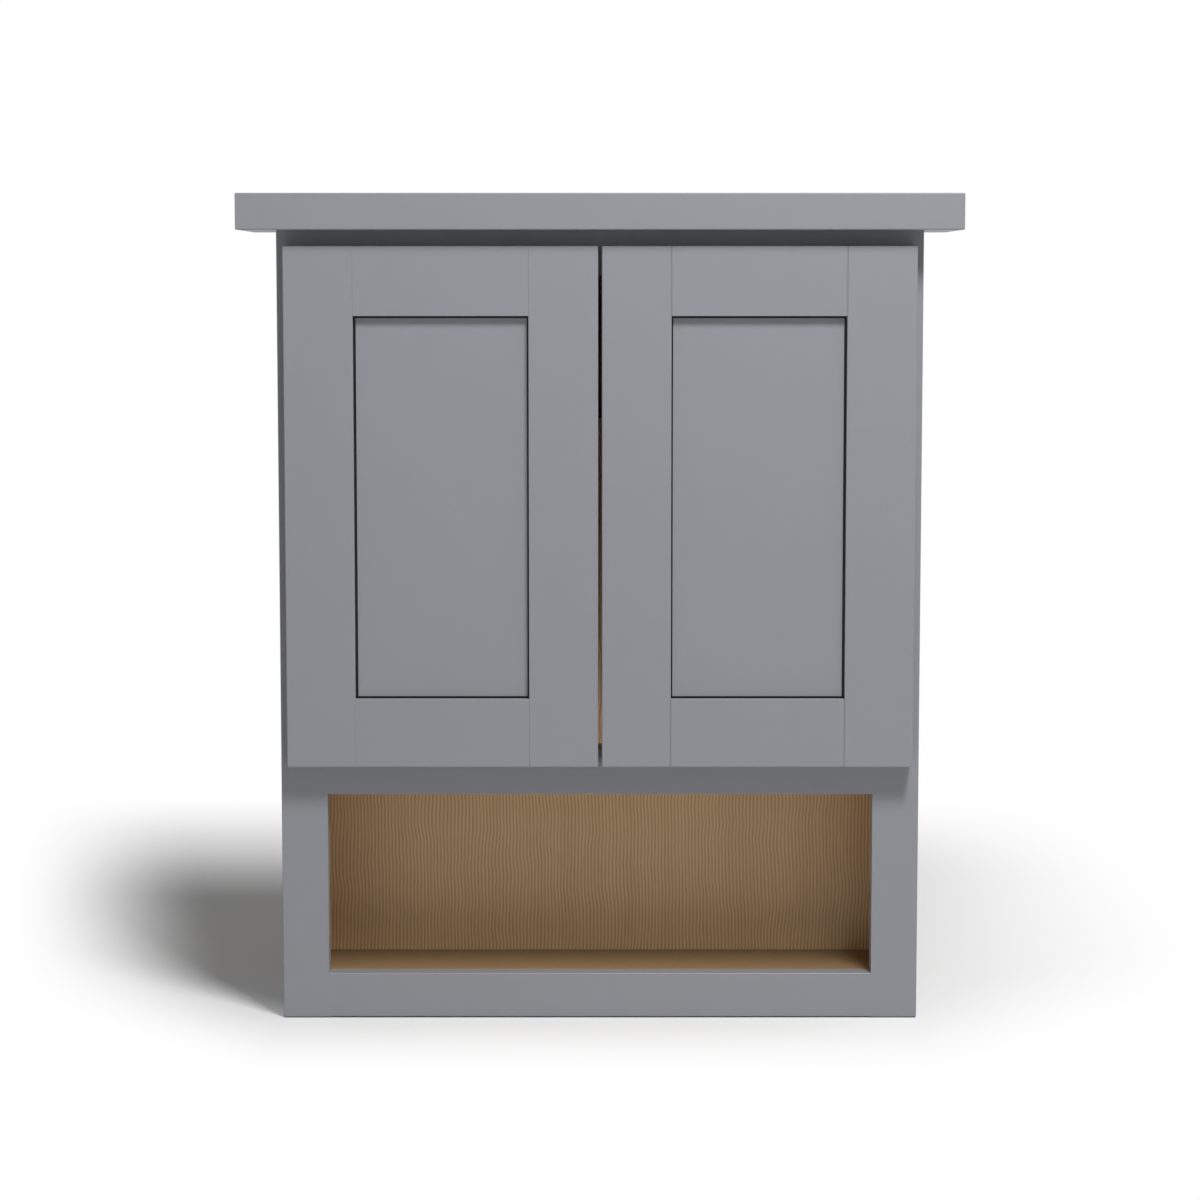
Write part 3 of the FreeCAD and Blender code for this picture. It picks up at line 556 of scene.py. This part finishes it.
# The thread's places and pitch are shares of the shank's length, its root is a share of the shank's radius,
# and the limits of its crest are shares of the pitch.
PLAIN_END = 0.3
THREAD_START = 0.32
THREAD_PITCH = 0.09
THREAD_TURNS = 6
THREAD_ROOT = 0.72
THREAD_CREST = (0.45, 0.55)
POINT_START = 0.9

# A bumper's proportions, as shares of its radius and height
BUMPER_SIDES = 32
BUMPER_FOOT = 0.94
BUMPER_FLARE = 0.12
BUMPER_RIM = 0.3
DOME_STEPS = 8

# Points nearer than this are merged, and edges below this angle are shaded smooth
MERGE = 0.0005 * MM
SMOOTH_BELOW = math.radians(40)


# Small turned pieces
def new_ring(bm, radius, height, count):
    """A ring of edges round the Z axis."""
    place = Matrix.Translation((0, 0, height))
    made = bmesh.ops.create_circle(bm, segments=count, radius=radius, matrix=place)
    return list({edge for vert in made["verts"] for edge in vert.link_edges})


def next_ring(bm, ring, scale, rise):
    """Carry a ring on to its next width and height."""
    grown = bmesh.ops.extrude_edge_only(bm, edges=ring)["geom"]
    verts = [item for item in grown if isinstance(item, bmesh.types.BMVert)]
    bmesh.ops.scale(bm, vec=(scale, scale, 1), verts=verts)
    bmesh.ops.translate(bm, vec=(0, 0, rise), verts=verts)
    edges = [item for item in grown if isinstance(item, bmesh.types.BMEdge)]
    return [edge for edge in edges if all(vert in verts for vert in edge.verts)]


def turned(bm, ring, outline):
    """Carry a ring through the radii and heights of an outline, which starts at the ring's own."""
    for (radius, height), (next_radius, next_height) in zip(outline, outline[1:]):
        ring = next_ring(bm, ring, next_radius / radius, next_height - height)
    return ring


def close_ring(bm, ring, height):
    """Draw a ring together to a point on the axis."""
    verts = list({vert for edge in ring for vert in edge.verts})
    bmesh.ops.pointmerge(bm, verts=verts, merge_co=(0, 0, height))


def quarter(centre_radius, centre_height, reach, rise, steps):
    """Points on a rounded shoulder, from its top to its outer edge."""
    points = []
    for step in range(steps + 1):
        angle = math.pi / 2 * step / steps
        points.append((centre_radius + reach * math.sin(angle), centre_height + rise * math.cos(angle)))
    return points


def cross_recess(bm, half, reach, depth, height):
    """A cross-shaped pit with tapering walls, and the edges of its mouth."""
    made = bmesh.ops.create_grid(bm, x_segments=3, y_segments=3, size=1)
    corners = []
    for vert in made["verts"]:
        outer = [abs(share) > 0.5 for share in vert.co.xy]
        for axis in range(2):
            vert.co[axis] = math.copysign(reach if outer[axis] else half, vert.co[axis])
        vert.co.z = height
        if all(outer):
            corners.append(vert)
    bmesh.ops.delete(bm, geom=corners, context="VERTS")
    mouth = [edge for edge in bm.edges if edge.is_boundary]
    floor = bm.faces[:]
    pit = bmesh.ops.extrude_face_region(bm, geom=floor)["geom"]
    verts = [item for item in pit if isinstance(item, bmesh.types.BMVert)]
    bmesh.ops.scale(bm, vec=(RECESS_TAPER, RECESS_TAPER, 1), verts=verts)
    bmesh.ops.translate(bm, vec=(0, 0, -depth), verts=verts)
    bmesh.ops.delete(bm, geom=[face for face in floor if face.is_valid], context="FACES")
    return mouth


def pan_screw(head_r, head_t, shank_l):
    """A pan-head wood screw along Z, with its seat at the origin and a cross recess in its head."""
    bm = bmesh.new()
    mouth = cross_recess(bm, RECESS_HALF * head_r, RECESS_REACH * head_r, RECESS_DEPTH * head_t, head_t)
    flat_r = HEAD_FLAT * head_r
    ring = new_ring(bm, flat_r, head_t, SCREW_SIDES)
    bmesh.ops.bridge_loops(bm, edges=mouth + ring)
    rim = HEAD_RIM * head_t
    outline = quarter(flat_r, rim, head_r - flat_r, head_t - rim, SHOULDER_STEPS)
    shank_r = SHANK_SHARE * head_r
    root_r = THREAD_ROOT * shank_r
    pitch = THREAD_PITCH * shank_l
    outline += [(head_r, 0.0), (shank_r, 0.0), (shank_r, -PLAIN_END * shank_l)]
    for turn in range(THREAD_TURNS):
        root = -THREAD_START * shank_l - turn * pitch
        outline.append((root_r, root))
        outline += [(shank_r, root - share * pitch) for share in THREAD_CREST]
    outline.append((root_r, -POINT_START * shank_l))
    close_ring(bm, turned(bm, ring, outline), -shank_l)
    return as_template(bm, "pan_screw")


def dome(radius, height):
    """A soft bumper: a flat disc with a low rounded top, along Z."""
    bm = bmesh.new()
    rim = BUMPER_RIM * height
    outline = [(BUMPER_FOOT * radius, 0.0), (radius, BUMPER_FLARE * height), (radius, rim)]
    outline += quarter(0.0, rim, radius, height - rim, DOME_STEPS)[-2:0:-1]
    ring = new_ring(bm, outline[0][0], 0.0, BUMPER_SIDES)
    bmesh.ops.edgeloop_fill(bm, edges=ring)
    close_ring(bm, turned(bm, ring, outline), height)
    return as_template(bm, "bumper_dome")


def as_template(bm, name):
    """Close a shape off as a mesh that is placed several times."""
    bmesh.ops.remove_doubles(bm, verts=bm.verts, dist=MERGE)
    bmesh.ops.recalc_face_normals(bm, faces=bm.faces)
    return as_mesh(bm, name)


def as_mesh(bm, name):
    """Turn a finished shape into a mesh."""
    mesh = bpy.data.meshes.new(name)
    bm.to_mesh(mesh)
    bm.free()
    return mesh


def new_object(name, data):
    """Put a mesh, lamp or camera into the scene."""
    thing = bpy.data.objects.new(name, data)
    bpy.context.scene.collection.objects.link(thing)
    return thing


def placed(name, template, spots, ways, material, body, node):
    """One piece with the same shape at several spots, standing in for a node."""
    bm = bmesh.new()
    for spot, way in zip(spots, ways):
        first = len(bm.verts)
        bm.from_mesh(template)
        bm.verts.ensure_lookup_table()
        turn = Vector(way).to_track_quat("Z", "Y").to_matrix().to_4x4()
        bmesh.ops.transform(bm, matrix=Matrix.Translation(spot) @ turn, verts=bm.verts[first:])
    mesh = as_mesh(bm, name)
    mesh.shade_smooth()
    mesh.set_sharp_from_angle(angle=SMOOTH_BELOW)
    mesh.materials.append(material)
    piece = new_object(name, mesh)
    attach(piece, body)
    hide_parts(node)


def middle_of(node):
    """The middle of a node's box."""
    low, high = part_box(node)
    return (low + high) / 2


TO_WALL = (0, 1, 0)
arm_low, arm_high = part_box("arm_screws")
arm_y = middle_of("arm_screws").y
head_r = (arm_high.y - arm_low.y) / 2
plate_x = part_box("right_lower_hinge_arm")[0].x
arm_spots = []
arm_ways = []
for word, side in sides.items():
    door = word + "_door"
    node = word + "_cup_screws"
    cup_low, cup_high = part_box(node)
    cup_x = middle_of(node).x
    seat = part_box(word + "_lower_hinge_cup")[1].y
    screw = pan_screw(head_r, cup_high.y - seat, seat - cup_low.y)
    upper_middle = middle_of(word + "_upper_hinge_arm").z
    cup_rise = cup_high.z - head_r - upper_middle
    arm_rise = arm_high.z - head_r - upper_middle
    cup_spots = []
    for level in levels:
        height = middle_of(f"{word}_{level}_hinge_arm").z
        for step in (-1, 1):
            cup_spots.append(Vector((cup_x, seat, height + step * cup_rise)))
            arm_spots.append(Vector((side * plate_x, arm_y, height + step * arm_rise)))
            arm_ways.append((-side, 0, 0))
    ways = [TO_WALL] * len(cup_spots)
    placed(word + "_cup_pan_screws", screw, cup_spots, ways, zinc, door, node)

    node = word + "_door_bumpers"
    low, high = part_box(node)
    radius = (high.x - low.x) / 2
    bumper = dome(radius, high.y - low.y)
    spots = [Vector((middle_of(node).x, low.y, z)) for z in (low.z + radius, high.z - radius)]
    ways = [TO_WALL] * len(spots)
    placed(word + "_bumper_domes", bumper, spots, ways, rubber, door, node)
placed("arm_pan_screws", screw, arm_spots, arm_ways, zinc, "cabinet", "arm_screws")

# Studio floor and sky
FLOOR_HALF = 14.0
FLOOR_GAP = 1.1 * MM
FLOOR_LIT = (0.82, 0.82, 0.82, 1)
FLOOR_SEEN = (0.92, 0.92, 0.92, 1)
WHITE = (1, 1, 1, 1)
SKY = 0.2
# Where the floor starts to turn white to the eye on each side of the cabinet, and where it is all white.
# The limit on the left slants, along the edge of the shadow, and the one in front opens out past the
# sides. Under the cabinet the floor stays grey.
WHITE_RIGHT = (0.086, 0.686)
WHITE_LEFT = (0.349, 0.583)
WHITE_BACK = (0.646, 1.282)
WHITE_FRONT = (-0.05, 0.274)
LEFT_SLANT = 0.167
FOOT_SOFT = 1 * MM

# Lamps: where they are, the way they shine, their width and height, and their power in watts
AIM = Vector((0.0, -0.02, 0.42))
KEY_SPOT = Vector((0.65, -1.39, 2.555))
KEY_SIZE = (0.6, 0.6)
KEY_POWER = 55.0
CARD_SPOT = Vector((0.0, -0.4, 0.004))
CARD_WAY = Vector((0.0, 0.0, 1.0))
CARD_SIZE = (0.7, 0.7)
CARD_POWER = 0.13
INSIDE_Y = 0.01
INSIDE_RISE = 2 * MM
INSIDE_WAY = Vector((0.0, 0.4, 1.0))
INSIDE_SIZE = (0.4, 0.05)
INSIDE_POWER = 0.13

# Camera: its lens and sensor in millimetres, its limits of sight, how far it stands from the face frame,
# its height, and how many degrees it tips down
LENS = 94.04
SENSOR = 36.0
CLIP = (0.05, 60.0)
CAMERA_BACK = 2967.2 * MM
CAMERA_HEIGHT = 704.2 * MM
CAMERA_TIP = 5.782


def seen_rays(tree):
    """1 where the eye, a mirror or glass meets a surface, and 0 where it is only lit."""
    rays = add(tree, "LightPath").outputs
    seen = maths(tree, "MAXIMUM", rays["Is Camera Ray"], rays["Is Glossy Ray"])
    return maths(tree, "MAXIMUM", seen, rays["Is Transmission Ray"])


def white_share(tree, seen):
    """How far the floor is white: 0 near the cabinet and under it, 1 far from it."""
    x, y = parts_of(tree, place_in(tree))[:2]
    to_front = maths(tree, "MULTIPLY", y, -1.0)
    to_left = maths(tree, "MULTIPLY", to_front, math.sin(LEFT_SLANT))
    to_left = maths(tree, "MULTIPLY_ADD", x, -math.cos(LEFT_SLANT), to_left)
    reach = maths(tree, "ABSOLUTE", x)
    past_side = maths(tree, "MAXIMUM", maths(tree, "SUBTRACT", reach, side_high.x), 0.0)
    opened = maths(tree, "ADD", to_front, past_side)
    ways = ((x, WHITE_RIGHT), (to_left, WHITE_LEFT), (y, WHITE_BACK), (opened, WHITE_FRONT))
    grey = 1.0
    for way, limits in ways:
        grey = maths(tree, "MULTIPLY", grey, maths(tree, "SUBTRACT", 1.0, step_up(tree, way, *limits)))
    white = maths(tree, "SUBTRACT", 1.0, grey)
    clear = step_up(tree, reach, side_high.x - FOOT_SOFT, side_high.x)
    for way, edge in ((to_front, -frame_front), (y, side_high.y)):
        clear = maths(tree, "MAXIMUM", clear, step_up(tree, way, edge - FOOT_SOFT, edge))
    return maths(tree, "MULTIPLY", white, maths(tree, "MULTIPLY", clear, seen))


def make_floor():
    """A pale floor that goes white to the eye and still takes the cabinet's shadow."""
    bm = bmesh.new()
    bmesh.ops.create_grid(bm, x_segments=1, y_segments=1, size=FLOOR_HALF)
    bmesh.ops.translate(bm, vec=(0, 0, -FLOOR_GAP), verts=bm.verts)
    floor = new_object("studio_floor", as_mesh(bm, "studio_floor"))
    material, tree = bare_material("pale_floor")
    seen = seen_rays(tree)
    shade = add(tree, "BsdfDiffuse", {"Color": mixed(tree, seen, FLOOR_LIT, FLOOR_SEEN)})
    white = add(tree, "Emission", {"Color": WHITE, "Strength": 1.0})
    share = white_share(tree, seen)
    blend = add(tree, "MixShader", {0: share, 1: shade.outputs[0], 2: white.outputs[0]})
    add(tree, "OutputMaterial", {"Surface": blend.outputs[0]})
    floor.data.materials.append(material)


def make_sky():
    """Weak even light from all round, white where it is seen directly."""
    world = bpy.data.worlds.new("studio")
    bpy.context.scene.world = world
    world.use_nodes = True
    tree = world.node_tree
    tree.nodes.clear()
    strength = ranged(tree, seen_rays(tree), SKY, 1.0)
    shade = add(tree, "Background", {"Color": WHITE, "Strength": strength})
    add(tree, "OutputWorld", {"Surface": shade.outputs[0]})


def soft_light(name, spot, way, size, power, reflected=False):
    """A rectangular soft light that shines along a way and is not seen itself."""
    lamp = bpy.data.lights.new(name, "AREA")
    lamp.shape = "RECTANGLE"
    lamp.size, lamp.size_y = size
    lamp.energy = power
    light = new_object(name, lamp)
    light.location = spot
    light.rotation_euler = way.to_track_quat("-Z", "Y").to_euler()
    light.visible_camera = False
    light.visible_glossy = reflected


def make_lights():
    """A soft key high on the right, a card on the floor in front and a trace of light inside."""
    soft_light("key_light", KEY_SPOT, AIM - KEY_SPOT, KEY_SIZE, KEY_POWER, reflected=True)
    soft_light("floor_card", CARD_SPOT, CARD_WAY, CARD_SIZE, CARD_POWER)
    deck_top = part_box("deck_board")[1].z
    inside = Vector((0.0, INSIDE_Y, deck_top + INSIDE_RISE))
    soft_light("light_inside", inside, INSIDE_WAY, INSIDE_SIZE, INSIDE_POWER)


def make_camera():
    """A long lens in front of the middle, a little below the doors' top and tipped down a little."""
    lens = bpy.data.cameras.new("photo_camera")
    lens.lens = LENS
    lens.sensor_width = SENSOR
    lens.clip_start, lens.clip_end = CLIP
    camera = new_object("photo_camera", lens)
    camera.location = (0.0, frame_front - CAMERA_BACK, CAMERA_HEIGHT)
    camera.rotation_euler = (math.radians(90 - CAMERA_TIP), 0.0, 0.0)
    bpy.context.scene.camera = camera


make_floor()
make_sky()
make_lights()
make_camera()
bpy.context.scene.view_settings.view_transform = "Standard"
